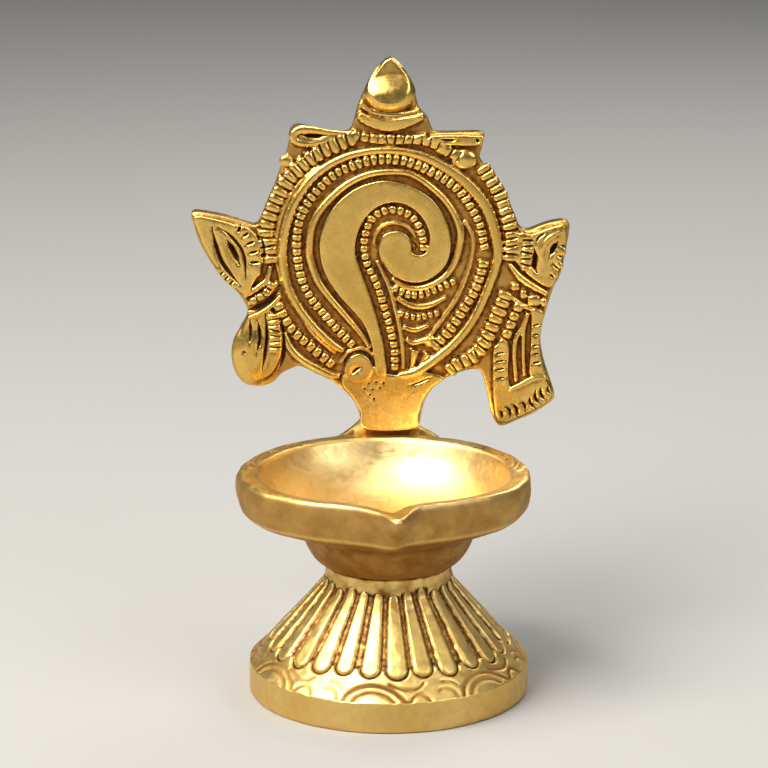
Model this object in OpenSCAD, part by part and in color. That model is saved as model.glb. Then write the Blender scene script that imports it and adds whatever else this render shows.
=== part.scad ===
// Brass diya oil lamp: a fluted hollow foot, a spouted oil bowl and an upright cast conch plate.
// Millimetres, +Z up, origin at the centre of the foot ring, spout towards -Y.

/* [Foot casting] */
// Radius of the foot ring
foot_r = 31.6; // [26:0.1:38]
// Height of the plain band round the foot
foot_band_h = 7; // [4:0.5:9]
// Height of the whole foot casting, up to the seam under the bowl
foot_h = 30; // [25:0.5:36]
// Radius of the plain neck that carries the bowl
neck_r = 14.2; // [11.8:0.1:17.1]
// Height of the plain neck
neck_h = 4.6; // [3:0.2:6]
// Thickness of the cast wall
foot_wall = 3; // [2:0.1:3.6]
// Thickness of the solid floor that the clamp screw pulls against
boss_floor = 6; // [4.5:0.5:8]
// Number of raised flutes round the cone
flute_count = 27; // [20:1:40]
// Turn of the first flute from the spout, in degrees
first_flute = 4.4; // [0:0.1:12]
// Radius of the round groove between two flutes
groove_r = 0.9; // [0.5:0.1:1.1]

/* [Bowl casting] */
// Outer radius of the bowl's rim
rim_r = 33.1; // [27.5:0.1:40]
// Height of the plain band round the rim
rim_band_h = 8; // [6:0.5:10]
// Width of the flat on top of the rim
rim_w = 4.7; // [3:0.1:6]
// Height of the bowl casting, from the seam to the rim
bowl_h = 20.5; // [18.5:0.1:25]
// Radius of the bowl's foot, where it sits on the neck
bowl_foot_r = 15.4; // [14:0.1:18]
// Radius of the bowl's body under the flange
bowl_body_r = 19.6; // [18:0.1:22]
// Depth of the oil space below the rim
dish_depth = 14; // [10:0.5:14.5]
// How far the spout's tip stands out past the circle of the rim
spout_out = 3.3; // [1:0.1:6]
// Radius of the channel that carries the wick out over the spout
wick_channel_r = 2.2; // [1.5:0.1:2.8]
// Half width of the lug that holds the plate, where it leaves the rim
lug_root_x = 14; // [11:0.5:16]
// Thickness of the lug behind the plate
lug_t = 3.2; // [2.4:0.1:3.9]
// Height of the lug above the rim
lug_h = 8.6; // [8:0.1:11]
// Metal left over the screw heads, at the top of the lug
lug_margin = 1; // [0.5:0.1:1.6]

/* [Conch plate] */
// Height of the plate above its seat
figure_h = 88.2; // [74:0.2:106]
// Thickness of the plate without its relief
plate_t = 4.2; // [3.5:0.1:5.1]
// How far the relief stands out of the plate
relief_h = 0.9; // [0.4:0.1:1.4]
// Half width of the tongue at its foot
tongue_x = 6.5; // [5.5:0.1:8]
// How far the tongue's face is set in from the outer edge of the rim
plate_setback = 2.7; // [1:0.1:3.4]
// Gap under the tongue, over the rim
seat_gap = 1.2; // [0.3:0.1:1.5]

/* [Fasteners] */
// Thread radius of the clamp screw under the foot
clamp_thread_r = 3; // [2.5:0.5:4]
// Length of the clamp screw under its head
clamp_length = 12; // [10:1:13]
// Radius of the clamp screw's head
clamp_head_r = 6; // [5:0.1:8]
// Height of the clamp screw's head
clamp_head_h = 4.6; // [3:0.1:5]
// Outer radius of the clamp washer
washer_r = 6.5; // [6:0.1:9]
// Thickness of the clamp washer
washer_t = 1.6; // [1:0.1:2]
// Thread radius of the two screws behind the plate
plate_thread_r = 1.5; // [1.25:0.25:2]
// Length of the plate screws under their heads
plate_screw_length = 6; // [5:0.5:6.5]
// Head radius of the plate screws
plate_head_r = 2.8; // [2.3:0.1:3]
// Head height of the plate screws
plate_head_h = 2.2; // [1.5:0.1:2.6]
// Gap between the heads of the two plate screws
plate_head_gap = 1.2; // [0.4:0.1:1.6]
// Radial clearance of a screw in a plain hole
hole_clearance = 0.2; // [0.1:0.05:0.5]
// Radial play of a thread in its tapped hole
thread_play = 0.05; // [0.02:0.01:0.1]
// Depth left below a screw's end in a blind hole
blind_gap = 0.6; // [0.3:0.1:1]

/* [Hidden] */
$fn = 128;
brass = [0.80, 0.62, 0.28];
steel = [0.72, 0.72, 0.72];
eps = 0.01;

// Levels and radii that follow from the sizes above
rim_z = foot_h + bowl_h;
band_z = rim_z - rim_band_h;
cone_top_z = foot_h - neck_h;
border_r = foot_r - 3.9;
border_z = foot_band_h + 3.8;
boss_z = foot_h - boss_floor;
dish_r = rim_r - rim_w;
dish_z = rim_z - dish_depth;
body_h = band_z - foot_h;
cone_angle = atan2(cone_top_z - border_z, border_r - 0.6 - neck_r);
cone_length = norm([cone_top_z - border_z, border_r - 0.6 - neck_r]);

// The front of the rim is flatter than the circle of its back: an arc struck from behind the axis
front_arc_y = 10;
front_arc_r = rim_r + 4.25;
shoulder_x = rim_r / 3;
shoulder_y = front_arc_y - sqrt(pow(front_arc_r, 2) - pow(shoulder_x, 2));

spout_reach = rim_r + spout_out;
plate_face_y = rim_r - plate_setback;
plate_back_y = plate_face_y + plate_t;
lug_back_y = plate_back_y + lug_t;
seat_z = rim_z + seat_gap;
plate_screw_pitch = 2 * plate_head_r + plate_head_gap;
plate_screw_z = rim_z + lug_h - plate_head_r - lug_margin;

// The figure is drawn 88.2 high and enlarged as a whole
fig = figure_h / 88.2;

// Catmull-Rom curve through hand-set points, n steps a span; a third value is the width there
function blend(a, b, c, d, t) =
    0.5 * (2 * b + (c - a) * t + (2 * a - 5 * b + 4 * c - d) * t * t + (3 * b - a - 3 * c + d) * t * t * t);
function curve(p, n) = let (m = len(p) - 1) concat(
    [for (i = [0:m - 1], k = [0:n - 1])
        blend(p[max(i - 1, 0)], p[i], p[i + 1], p[min(i + 2, m)], k / n)],
    [p[m]]);
function normal_at(c, i) =
    let (a = c[max(i - 1, 0)], b = c[min(i + 1, len(c) - 1)], d = [b[0] - a[0], b[1] - a[1]])
    [-d[1], d[0]] / norm(d);
function edge(c, s) = [for (i = [0:len(c) - 1]) [c[i][0], c[i][1]] + s * c[i][2] / 2 * normal_at(c, i)];
function flipped(p) = [for (i = [len(p) - 1:-1:0]) p[i]];

// A flat ribbon that follows a curve, as wide as the third value of its points says
module ribbon(points, steps = 4) {
    c = curve(points, steps);
    polygon(fig * concat(edge(c, 1), flipped(edge(c, -1))));
}

// Foot casting: band, scroll border, fluted cone and neck, hollow underneath
module foot_outline() {
    polygon([
        [0, 0], [foot_r, 0], [foot_r, foot_band_h], [border_r, border_z],
        [border_r - 0.6, border_z], [neck_r, cone_top_z], [neck_r - 0.5, cone_top_z + 1.8],
        [neck_r, foot_h], [0, foot_h]
    ]);
}

module foot_hollow() {
    inner_neck_r = neck_r - foot_wall + 1.2;
    polygon([
        [0, -1], [foot_r - foot_wall, -1], [foot_r - foot_wall, foot_band_h - 1],
        [border_r - foot_wall - 0.6, border_z - 1.4], [inner_neck_r, boss_z - 1.5],
        [inner_neck_r - 1, boss_z], [0, boss_z]
    ]);
}

module flute_grooves() {
    for (i = [0:flute_count - 1])
        rotate([0, 0, first_flute - 90 + (i + 0.5) * 360 / flute_count])
            translate([border_r - 0.6, 0, border_z])
                rotate([0, -90 + cone_angle, 0])
                    cylinder(r1 = groove_r, r2 = groove_r * 0.7, h = cone_length, $fn = 24);
}

module base() {
    color(brass)
        difference() {
            rotate_extrude() foot_outline();
            rotate_extrude() foot_hollow();
            flute_grooves();
            cylinder(r = clamp_thread_r + hole_clearance, h = foot_h + 1);
        }
}

// Bowl casting: plan of the rim, its spout, the dish, the tapped foot and the rear lug
module rim_plan(inset) {
    intersection() {
        circle(r = rim_r - inset);
        translate([0, front_arc_y]) circle(r = front_arc_r - inset * 0.72);
    }
}

module spout_plan() {
    reach = spout_reach + shoulder_y;
    half = [
        [shoulder_x, 8], [shoulder_x, 0], [shoulder_x * 0.68, -reach * 0.16],
        [shoulder_x * 0.41, -reach * 0.39], [shoulder_x * 0.18, -reach * 0.76], [0.7, -reach]
    ];
    translate([0, shoulder_y])
        polygon(concat(half, [for (p = flipped(half)) [-p[0], p[1]]]));
}

module bowl_outline() {
    polygon([
        [0, foot_h], [bowl_foot_r, foot_h], [bowl_foot_r + 1.6, foot_h + body_h * 0.12],
        [bowl_body_r - 1.4, foot_h + body_h * 0.3], [bowl_body_r, foot_h + body_h * 0.56],
        [rim_r - 6, band_z - 2.6], [rim_r - 2.4, band_z - 1.4], [rim_r - 0.9, band_z],
        [rim_r, band_z + 3], [rim_r + 6, band_z + 3.5], [rim_r + 6, rim_z], [0, rim_z]
    ]);
}

module dish_outline() {
    polygon([
        [0, dish_z], [dish_r * 0.25, dish_z + dish_depth * 0.01],
        [dish_r * 0.45, dish_z + dish_depth * 0.065], [dish_r * 0.65, dish_z + dish_depth * 0.2],
        [dish_r * 0.82, dish_z + dish_depth * 0.44],
        [dish_r * 0.94, dish_z + dish_depth * 0.73], [dish_r, rim_z], [dish_r, rim_z + 1], [0, rim_z + 1]
    ]);
}

module wick_channel() {
    translate([0, shoulder_y + 4, rim_z - 1.7])
        rotate([85, 0, 0])
            cylinder(r = wick_channel_r, h = spout_reach, $fn = 32);
}

module lug() {
    flare = lug_root_x - tongue_x;
    root_h = rim_band_h * 0.75;
    half = [
        [lug_root_x, -root_h], [lug_root_x, 0], [tongue_x + flare * 0.52, 1], [tongue_x + flare * 0.22, 2.4],
        [tongue_x + flare * 0.08, 4.2], [tongue_x, lug_h - 1], [tongue_x - 1, lug_h]
    ];
    translate([0, lug_back_y, rim_z])
        rotate([90, 0, 0])
            linear_extrude(lug_t)
                polygon(concat(half, [for (p = flipped(half)) [-p[0], p[1]]]));
    // The root ties the lug into the band, below the rim and behind the dish
    intersection() {
        translate([-lug_root_x, dish_r + 1, rim_z - root_h])
            cube([2 * lug_root_x, lug_back_y - dish_r - 1, root_h]);
        translate([0, 0, foot_h]) cylinder(r = lug_back_y + 1.2, h = bowl_h);
    }
}

module plate_screw_holes(radius, from_y, to_y) {
    for (side = [-1, 1])
        translate([side * plate_screw_pitch / 2, to_y, plate_screw_z])
            rotate([90, 0, 0])
                cylinder(r = radius, h = to_y - from_y);
}

module bowl() {
    tapped_depth = clamp_length - boss_floor - washer_t + blind_gap;
    color(brass)
        difference() {
            union() {
                intersection() {
                    rotate_extrude() bowl_outline();
                    translate([0, 0, foot_h - 1]) linear_extrude(bowl_h + 2) union() {
                        rim_plan(0);
                        spout_plan();
                    }
                }
                lug();
            }
            intersection() {
                rotate_extrude() dish_outline();
                translate([0, 0, foot_h]) linear_extrude(bowl_h + 2) rim_plan(rim_w);
            }
            wick_channel();
            translate([0, 0, foot_h - 1])
                cylinder(r = clamp_thread_r + thread_play, h = tapped_depth + 1);
            plate_screw_holes(plate_thread_r + hole_clearance, plate_back_y - 1, lug_back_y + 1);
        }
}

// Conch plate: outline in X and height above the seat, drawn at the design height of 88.2
module outline_piece(points) {
    polygon(fig * points);
}

module disc_outline() {
    translate(fig * [0, 41.2]) circle(r = fig * 30.3);
    outline_piece([
        [-27.5, 24], [-21, 15.2], [-15, 12.6], [-11.5, 10.3], [-8.8, 7.8], [-7.4, 5],
        [7.4, 5], [8.8, 7.8], [12.5, 12], [18, 14.3], [21.2, 14.5], [28, 28]
    ]);
}

module bow_outlines() {
    outline_piece([
        [-18, 62], [-22.8, 66], [-22.4, 71.8], [-21, 72.8], [-15, 71.6], [-11, 71.2],
        [-7, 72.8], [-6, 64]
    ]);
    outline_piece([
        [18, 61], [21.5, 65.5], [21.9, 70.2], [20.8, 71.1], [10.6, 71.1], [7, 69.5], [6, 64]
    ]);
}

module wing_outlines() {
    // Right wing, waist and hanging ribbon
    outline_piece([
        [28, 49], [32, 48.2], [36, 50], [40, 50.8], [41.7, 49.1], [41.1, 45.3], [40.3, 40.3],
        [39, 35.8], [37.2, 31.3], [36.2, 27.8], [35.2, 22.8], [36.3, 15.8], [38.4, 8.8], [38.4, 7.3],
        [34, 4.1], [30, 2.4], [26, 1.2], [24.5, 2.8], [23.3, 6.5], [22.3, 11.5], [20.6, 16], [22, 30]
    ]);
    // Left wing and waist
    outline_piece([
        [-27, 49], [-31, 49.8], [-36, 51.5], [-43, 52.8], [-45.2, 52.2], [-44.3, 47.3], [-42.5, 42.8],
        [-40, 38.6], [-37, 35], [-34, 31.6], [-32.6, 28.6], [-24, 26]
    ]);
    // Left ribbon, which ends in a round knob
    outline_piece([
        [-22, 32], [-32.6, 28.8], [-34.5, 24.1], [-35.9, 19.5], [-36.1, 17.3], [-30, 16],
        [-22, 16.5], [-20.4, 16]
    ]);
    translate(fig * [-30.1, 16.4]) circle(r = fig * 6);
    outline_piece([[-30, 10.4], [-26, 12.2], [-20.5, 15.2], [-19, 26], [-30, 22]]);
}

module crown_outline() {
    outline_piece([
        [-8.2, 66], [-8.2, 72.8], [-7.2, 75.6], [-6, 77.8], [6, 77.8], [6.6, 76.2],
        [8.5, 74.4], [9.4, 72.4], [9.8, 66]
    ]);
}

module tongue_outline() {
    polygon([
        [-tongue_x + 0.6, 0], [tongue_x - 0.6, 0], [tongue_x, 0.6], [tongue_x + 0.5, fig * 4.2],
        [fig * 9.2, fig * 8.4], [fig * 9.2, fig * 14], [-fig * 9.2, fig * 14], [-fig * 9.2, fig * 8.4],
        [-tongue_x - 0.5, fig * 4.2], [-tongue_x, 0.6]
    ]);
}

// The conch itself: a flat ribbon that rises from the tongue, turns over and closes on its eye
module conch_outline() {
    ribbon([
        [-1.6, 14, 2.2], [-2.4, 20.8, 2.8], [-4.8, 27.6, 4], [-8.2, 33.6, 6.6], [-10.8, 38.8, 7.8],
        [-11.7, 43, 8.1], [-11.2, 47.4, 8], [-9.4, 51.3, 7.5], [-7, 54, 6.4], [-3.9, 56, 5.6],
        [0.2, 56.8, 5], [4.2, 56, 4.4], [7.5, 54.2, 4.4], [9.8, 51.7, 4.6], [11.4, 48.4, 4.8],
        [11.6, 44.5, 5], [9.8, 40.8, 5.6], [6.6, 39, 6], [3.4, 40, 6], [1.4, 42.6, 6]
    ]);
    translate(fig * [1.7, 44.3]) circle(r = fig * 3.3);
}

module ring_outline(radius, width) {
    translate(fig * [0.2, 41.6])
        difference() {
            circle(r = fig * radius + width / 2);
            circle(r = fig * radius - width / 2);
        }
}

module ridge_outlines() {
    ring_outline(28.6, 1.8);
    ring_outline(24.6, 1.6);
    // Inner coil, which opens at its foot
    ribbon([
        [-4.3, 20, 1.2], [-10, 27.6, 1.5], [-16.3, 35.8, 1.6], [-18.2, 43.8, 1.6], [-15, 53.3, 1.6],
        [-8, 59.6, 1.6], [0, 61.2, 1.6], [8, 59.2, 1.6], [14, 53.3, 1.5], [16.3, 46.5, 1.4],
        [15, 39.5, 1.3], [11.6, 35.8, 1.2], [6.5, 34.4, 1], [0.8, 36.6, 0.8]
    ]);
}

module finial() {
    bulb_z = 76.4;
    translate([0, plate_face_y + plate_t / 2, seat_z])
        intersection() {
            rotate_extrude() polygon(fig * [
                [0, bulb_z - 3.4], [3, bulb_z - 2.4], [5.2, bulb_z - 0.2], [5.9, bulb_z + 2],
                [5.6, bulb_z + 4.2], [4.4, bulb_z + 7], [2.8, bulb_z + 9.6], [1.1, bulb_z + 11.4],
                [0, bulb_z + 11.8]
            ]);
            translate([-20, -plate_t / 2 - relief_h, 0]) cube([40, plate_t + 2 * relief_h, 2 * figure_h]);
        }
}

module conch_plate() {
    tapped_depth = plate_screw_length - lug_t + blind_gap;
    color(brass)
        difference() {
            union() {
                translate([0, plate_back_y, seat_z])
                    rotate([90, 0, 0]) {
                        linear_extrude(plate_t) union() {
                            disc_outline();
                            bow_outlines();
                            wing_outlines();
                            crown_outline();
                            tongue_outline();
                        }
                        linear_extrude(plate_t + relief_h) union() {
                            conch_outline();
                            ridge_outlines();
                        }
                    }
                finial();
            }
            plate_screw_holes(plate_thread_r + thread_play, plate_back_y - tapped_depth, plate_back_y + 1);
        }
}

// Fasteners: slotted pan-head screws and a plain washer
module pan_screw(thread_r, length, head_r, head_h) {
    difference() {
        union() {
            translate([0, 0, -eps]) cylinder(r = thread_r, h = length + eps, $fn = 48);
            rotate_extrude() polygon([
                [0, -head_h], [head_r * 0.72, -head_h], [head_r * 0.93, -head_h * 0.78],
                [head_r, -head_h * 0.45], [head_r, 0], [0, 0]
            ]);
        }
        translate([-head_r - 1, -head_r * 0.12, -head_h - 1])
            cube([2 * head_r + 2, head_r * 0.24, head_h * 0.45 + 1]);
    }
}

module clamp_screw() {
    color(steel)
        translate([0, 0, boss_z - washer_t])
            pan_screw(clamp_thread_r, clamp_length, clamp_head_r, clamp_head_h);
}

module clamp_washer() {
    color(steel)
        translate([0, 0, boss_z - washer_t])
            difference() {
                cylinder(r = washer_r, h = washer_t);
                translate([0, 0, -1]) cylinder(r = clamp_thread_r + hole_clearance, h = washer_t + 2);
            }
}

module plate_screws() {
    color(brass)
        for (side = [-1, 1])
            translate([side * plate_screw_pitch / 2, lug_back_y, plate_screw_z])
                rotate([90, 0, 0])
                    pan_screw(plate_thread_r, plate_screw_length, plate_head_r, plate_head_h);
}

base();
bowl();
conch_plate();
clamp_screw();
clamp_washer();
plate_screws();
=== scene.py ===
import bpy
import math
import numpy as np
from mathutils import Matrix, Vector, noise


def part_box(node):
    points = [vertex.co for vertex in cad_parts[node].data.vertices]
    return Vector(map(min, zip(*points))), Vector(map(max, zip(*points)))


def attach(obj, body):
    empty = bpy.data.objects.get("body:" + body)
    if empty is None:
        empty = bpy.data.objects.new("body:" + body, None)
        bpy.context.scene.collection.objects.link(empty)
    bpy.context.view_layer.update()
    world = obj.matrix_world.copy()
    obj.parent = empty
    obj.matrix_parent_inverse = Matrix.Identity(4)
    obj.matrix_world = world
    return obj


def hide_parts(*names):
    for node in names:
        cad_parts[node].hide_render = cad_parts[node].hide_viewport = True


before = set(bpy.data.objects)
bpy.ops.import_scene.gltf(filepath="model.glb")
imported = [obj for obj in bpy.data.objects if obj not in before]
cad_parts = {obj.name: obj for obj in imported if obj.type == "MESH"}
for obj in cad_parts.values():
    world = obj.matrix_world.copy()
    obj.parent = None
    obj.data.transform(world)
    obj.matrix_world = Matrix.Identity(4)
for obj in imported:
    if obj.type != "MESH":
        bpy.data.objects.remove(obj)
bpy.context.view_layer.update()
MM = 0.001
bpy.context.scene.view_settings.view_transform = "Standard"
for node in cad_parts.values():
    node.select_set(False)


# ---------------------------------------------------------------- foot casting
# The hollow brass foot, sand cast in one piece: a plain polished band, a border of wave scrolls,
# a cone of raised flutes and a plain neck. It was polished on its high spots only, so the
# grooves keep their dark brown patina. The bowl is clamped to it by a screw from below.

def spline(points, step):
    """A smooth curve through given points, as rows of even spacing; any further values ride along."""
    p = np.array(points, float)
    rows = []
    for i in range(len(p) - 1):
        a, b, c, d = p[max(i - 1, 0)], p[i], p[i + 1], p[min(i + 2, len(p) - 1)]
        n = max(1, int(np.hypot(*(c - b)[:2]) / step + 0.5))
        t = (np.arange(n) / n)[:, None]
        rows.append(0.5 * (2 * b + (c - a) * t + (2 * a - 5 * b + 4 * c - d) * t ** 2
                           + (3 * b - a - 3 * c + d) * t ** 3))
    return np.vstack(rows + [p[-1:]])


def straight(points, step):
    """The same with straight lines between the points."""
    p = np.array(points, float)
    rows = []
    for b, c in zip(p[:-1], p[1:]):
        n = max(1, int(np.hypot(*(c - b)[:2]) / step + 0.5))
        rows.append(b + (c - b) * (np.arange(n) / n)[:, None])
    return np.vstack(rows + [p[-1:]])


def carried(name, verts, faces, edges=()):
    """A new object from points in millimetres."""
    mesh = bpy.data.meshes.new(name)
    mesh.from_pydata([(x * MM, y * MM, z * MM) for x, y, z in verts], list(edges), faces)
    piece = bpy.data.objects.new(name, mesh)
    bpy.context.scene.collection.objects.link(piece)
    return piece


def face_outward(piece, triangles=False):
    """Turns the faces outward, and cuts them into triangles where the outline isn't convex."""
    select_only(piece)
    bpy.ops.object.mode_set(mode="EDIT")
    bpy.ops.mesh.select_all(action="SELECT")
    if triangles:
        bpy.ops.mesh.quads_convert_to_tris(ngon_method="BEAUTY")
    bpy.ops.mesh.normals_make_consistent(inside=False)
    bpy.ops.object.mode_set(mode="OBJECT")


def lathe(name, profile, steps):
    """Spins a closed profile of (radius, height) points, in millimetres, round the Z axis."""
    closed = profile[0][0] > 0 or profile[-1][0] > 0
    chain = [(i, i + 1) for i in range(len(profile) - 1)] + ([(len(profile) - 1, 0)] if closed else [])
    piece = carried(name, [(r, 0, z) for r, z in profile], [], chain)
    select_only(piece)
    bpy.ops.object.mode_set(mode="EDIT")
    bpy.ops.mesh.select_all(action="SELECT")
    bpy.ops.mesh.spin(steps=steps, angle=2 * math.pi, center=(0, 0, 0), axis=(0, 0, 1))
    bpy.ops.mesh.select_all(action="SELECT")
    bpy.ops.mesh.remove_doubles(threshold=0.002 * MM)
    bpy.ops.mesh.normals_make_consistent(inside=False)
    bpy.ops.object.mode_set(mode="OBJECT")
    return piece


def select_only(*pieces):
    bpy.ops.object.select_all(action="DESELECT")
    for piece in pieces:
        piece.select_set(True)
    bpy.context.view_layer.objects.active = pieces[0]


def points_of(piece):
    co = np.zeros(len(piece.data.vertices) * 3, np.float32)
    piece.data.vertices.foreach_get("co", co)
    return co.reshape(-1, 3).astype(float) / MM


def normals_of(piece):
    no = np.zeros(len(piece.data.vertices) * 3, np.float32)
    piece.data.vertex_normals.foreach_get("vector", no)
    return no.reshape(-1, 3).astype(float)


def move_points(piece, co):
    piece.data.vertices.foreach_set("co", (co * MM).astype(np.float32).ravel())
    piece.data.update()


def step_up(low, high, x):
    t = np.clip((x - low) / (high - low), 0, 1)
    return t * t * (3 - 2 * t)


def line_distance(path, x, y):
    """For each point, its distance to a polyline and how far along the line that is."""
    path = np.array(path, float)[:, :2]
    best = np.full(x.shape, 1e9)
    along = np.zeros(x.shape)
    run = 0.0
    for a, b in zip(path[:-1], path[1:]):
        d = b - a
        length = max(np.hypot(*d), 1e-9)
        t = np.clip(((x - a[0]) * d[0] + (y - a[1]) * d[1]) / length ** 2, 0, 1)
        gap = np.hypot(x - a[0] - t * d[0], y - a[1] - t * d[1])
        nearer = gap < best
        best[nearer] = gap[nearer]
        along[nearer] = run + t[nearer] * length
        run += length
    return best, along


def ripple(piece, size, strength):
    """Gives a cast surface its small unevenness, in millimetres."""
    texture = bpy.data.textures.new("cast_skin", "CLOUDS")
    texture.noise_scale = size * MM
    texture.noise_depth = 2
    modifier = piece.modifiers.new("cast_skin", "DISPLACE")
    modifier.texture = texture
    modifier.texture_coords = "LOCAL"
    modifier.strength = strength * MM
    modifier.mid_level = 0.5
    select_only(piece)
    bpy.ops.object.modifier_apply(modifier="cast_skin")


def depth_below(piece, reach):
    """How far each point lies below its surroundings, smoothed once for each number of turns in reach."""
    pairs = np.zeros(len(piece.data.edges) * 2, np.int32)
    piece.data.edges.foreach_get("vertices", pairs)
    pairs = pairs.reshape(-1, 2)
    here, there = np.concatenate([pairs, pairs[:, ::-1]]).T
    co, normal = points_of(piece), normals_of(piece)
    count = np.maximum(np.bincount(here, minlength=len(co)), 1)
    soft = co
    depth = []
    for turn in range(max(reach)):
        soft = np.stack([np.bincount(here, soft[there, k], len(co)) / count for k in range(3)], 1)
        if turn + 1 in reach:
            depth.append(((soft - co) * normal).sum(1))
    return depth


def mark_hollows(piece, reach=(3, 14), left=1.0, film_and_shade=0.0, pale=0.0):
    """Stores the hollows where patina gathers. Left is the share of it that polishing left at each
    point, then a brown coat over open faces, partly painted shade, and pale, a painted highlight."""
    fine, wide = depth_below(piece, reach)
    flat = np.zeros(len(fine))
    for label, values in (("hollow_fine", fine * left), ("hollow_wide", wide * left),
                          ("film_and_painted_shade", flat + film_and_shade), ("pale", flat + pale)):
        layer = piece.data.attributes.new(label, "FLOAT", "POINT")
        layer.data.foreach_set("value", values.astype(np.float32))


def node_in(tree, kind, **values):
    n = tree.nodes.new(kind)
    for key, value in values.items():
        if hasattr(n, key):
            setattr(n, key, value)
        else:
            n.inputs[key.replace("_", " ")].default_value = value
    return n


def cast_brass(name, gold, shade, film_at=(0.02, 0.2), deep_at=(0.05, 0.15), polish=0.36, grain=0.2,
               pits=0.3, brushed=None, scratched=0):
    """Cast brass with patina in its hollows, polished high spots, a hand-finished grain and a few pits,
    with painted shade and a painted highlight from its attributes.
    """
    # Paler brass for the painted highlight.
    painted_highlight_brass = (0.95, 0.78, 0.44)
    old_patina = (0.040, 0.017, 0.007)
    material = bpy.data.materials.new(name)
    material.use_nodes = True
    tree = material.node_tree
    tree.nodes.clear()
    link = tree.links.new
    out = tree.nodes.new("ShaderNodeOutputMaterial")
    metal = tree.nodes.new("ShaderNodeBsdfPrincipled")
    link(metal.outputs[0], out.inputs[0])
    where = tree.nodes.new("ShaderNodeTexCoord").outputs["Object"]

    def grit(scale, detail=4, rough=0.6, vector=where):
        n = node_in(tree, "ShaderNodeTexNoise", Scale=scale, Detail=detail, Roughness=rough)
        link(vector, n.inputs["Vector"])
        return n.outputs["Fac"]

    def maths(kind, a, b, clamp=False):
        n = tree.nodes.new("ShaderNodeMath")
        n.operation, n.use_clamp = kind, clamp
        for socket, value in zip(n.inputs, (a, b)):
            if isinstance(value, (int, float)):
                socket.default_value = value
            else:
                link(value, socket)
        return n.outputs[0]

    def ranged(value, low, high, to_low=0.0, to_high=1.0):
        n = node_in(tree, "ShaderNodeMapRange", interpolation_type="SMOOTHSTEP")
        link(value, n.inputs["Value"])
        for key, number in zip(("From Min", "From Max", "To Min", "To Max"),
                               (low, high, to_low, to_high)):
            n.inputs[key].default_value = number
        return n.outputs["Result"]

    def hollow(label, unevenness):
        n = node_in(tree, "ShaderNodeAttribute", attribute_name=label).outputs["Fac"]
        return maths("MULTIPLY", n, ranged(wear, 0.3, 0.7, 1 - unevenness, 1 + unevenness))

    def mixed(fac, a, b):
        n = tree.nodes.new("ShaderNodeMix")
        n.data_type = "RGBA"
        link(fac, n.inputs[0])
        for socket, value in zip((n.inputs[6], n.inputs[7]), (a, b)):
            if isinstance(value, tuple):
                socket.default_value = (*value, 1)
            else:
                link(value, socket)
        return n.outputs[2]

    def strokes(scale, turned=0.0):
        """Noise drawn out into fine lines."""
        n = node_in(tree, "ShaderNodeMapping", Scale=scale, Rotation=(0, 0, turned))
        link(where, n.inputs["Vector"])
        return grit(1, 3, 0.7, n.outputs[0])

    def tinted(colour, red, green, blue):
        return (colour[0] * red, colour[1] * green, colour[2] * blue)

    # Patina: a brown film over wide hollows, near black only in the narrow ones, broken up by wear
    wear = grit(700, 5, 0.65)
    # The even film attribute is partly painted shade: on the bowl's body and band and in the seam under
    # the bowl it stands in for shade.
    even = node_in(tree, "ShaderNodeAttribute", attribute_name="film_and_painted_shade").outputs["Fac"]
    caked = ranged(even, 1.0, 1.55)
    even = maths("MULTIPLY", even, ranged(grit(160, 4, 0.55), 0.3, 0.7, 0.8, 1.15), True)
    film_and_shade = maths("MAXIMUM", ranged(hollow("hollow_wide", 0.35), *film_at), even)
    deep = maths("MAXIMUM", ranged(hollow("hollow_fine", 0.45), *deep_at), caked)
    tone = ranged(grit(60, 3), 0.3, 0.7)
    freckle = ranged(grit(420, 6, 0.7), 0.35, 0.75)
    clean = mixed(tone, gold, shade)
    clean = mixed(maths("MULTIPLY", freckle, 0.4), clean, tinted(gold, 0.70, 0.62, 0.50))
    # Painted highlight: the pale attribute mixes in paler brass for the glare in the dish and its
    # reflection in the tongue.
    painted_highlight = node_in(tree, "ShaderNodeAttribute", attribute_name="pale").outputs["Fac"]
    clean = mixed(painted_highlight, clean, painted_highlight_brass)
    colour = mixed(film_and_shade, clean, tinted(gold, 0.36, 0.24, 0.17))
    colour = mixed(deep, colour, old_patina)
    link(colour, metal.inputs["Base Color"])
    link(ranged(deep, 0.2, 0.95, 1.0, 0.6), metal.inputs["Metallic"])
    shine = ranged(freckle, 0, 1, polish - 0.05, polish + 0.1)
    shine = maths("ADD", shine, maths("MULTIPLY", maths("MAXIMUM", film_and_shade, deep), 0.25))
    link(shine, metal.inputs["Roughness"])

    # Finish: cast skin, small pits and, where the piece was dressed by hand, fine scratches one way
    rough_film = maths("ADD", maths("MULTIPLY", film_and_shade, 1.6), 1.0)
    height = maths("MULTIPLY", maths("MULTIPLY", grit(1300, 4, 0.6), grain), rough_film)
    pit = ranged(grit(1100, 2, 0.5), 0.17, 0.27, 1.0, 0.0)
    height = maths("SUBTRACT", height, maths("MULTIPLY", pit, pits))
    if brushed:
        height = maths("ADD", height, maths("MULTIPLY", strokes(brushed), 0.4))
    if scratched:
        lines = ranged(strokes((110, 2400, 110), math.radians(-40)), 0.42, 0.62)
        height = maths("ADD", height, maths("MULTIPLY", maths("MULTIPLY", lines, painted_highlight), scratched))
    bump = node_in(tree, "ShaderNodeBump", Strength=0.35, Distance=0.1 * MM)
    link(height, bump.inputs["Height"])
    link(bump.outputs[0], metal.inputs["Normal"])
    return material


def finish_piece(piece, material, *nodes):
    """Smooth shading, its material, and its place in the frame."""
    piece.data.materials.clear()
    piece.data.materials.append(material)
    select_only(piece)
    bpy.ops.object.shade_smooth()
    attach(piece, "root")
    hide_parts(*nodes)


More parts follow.
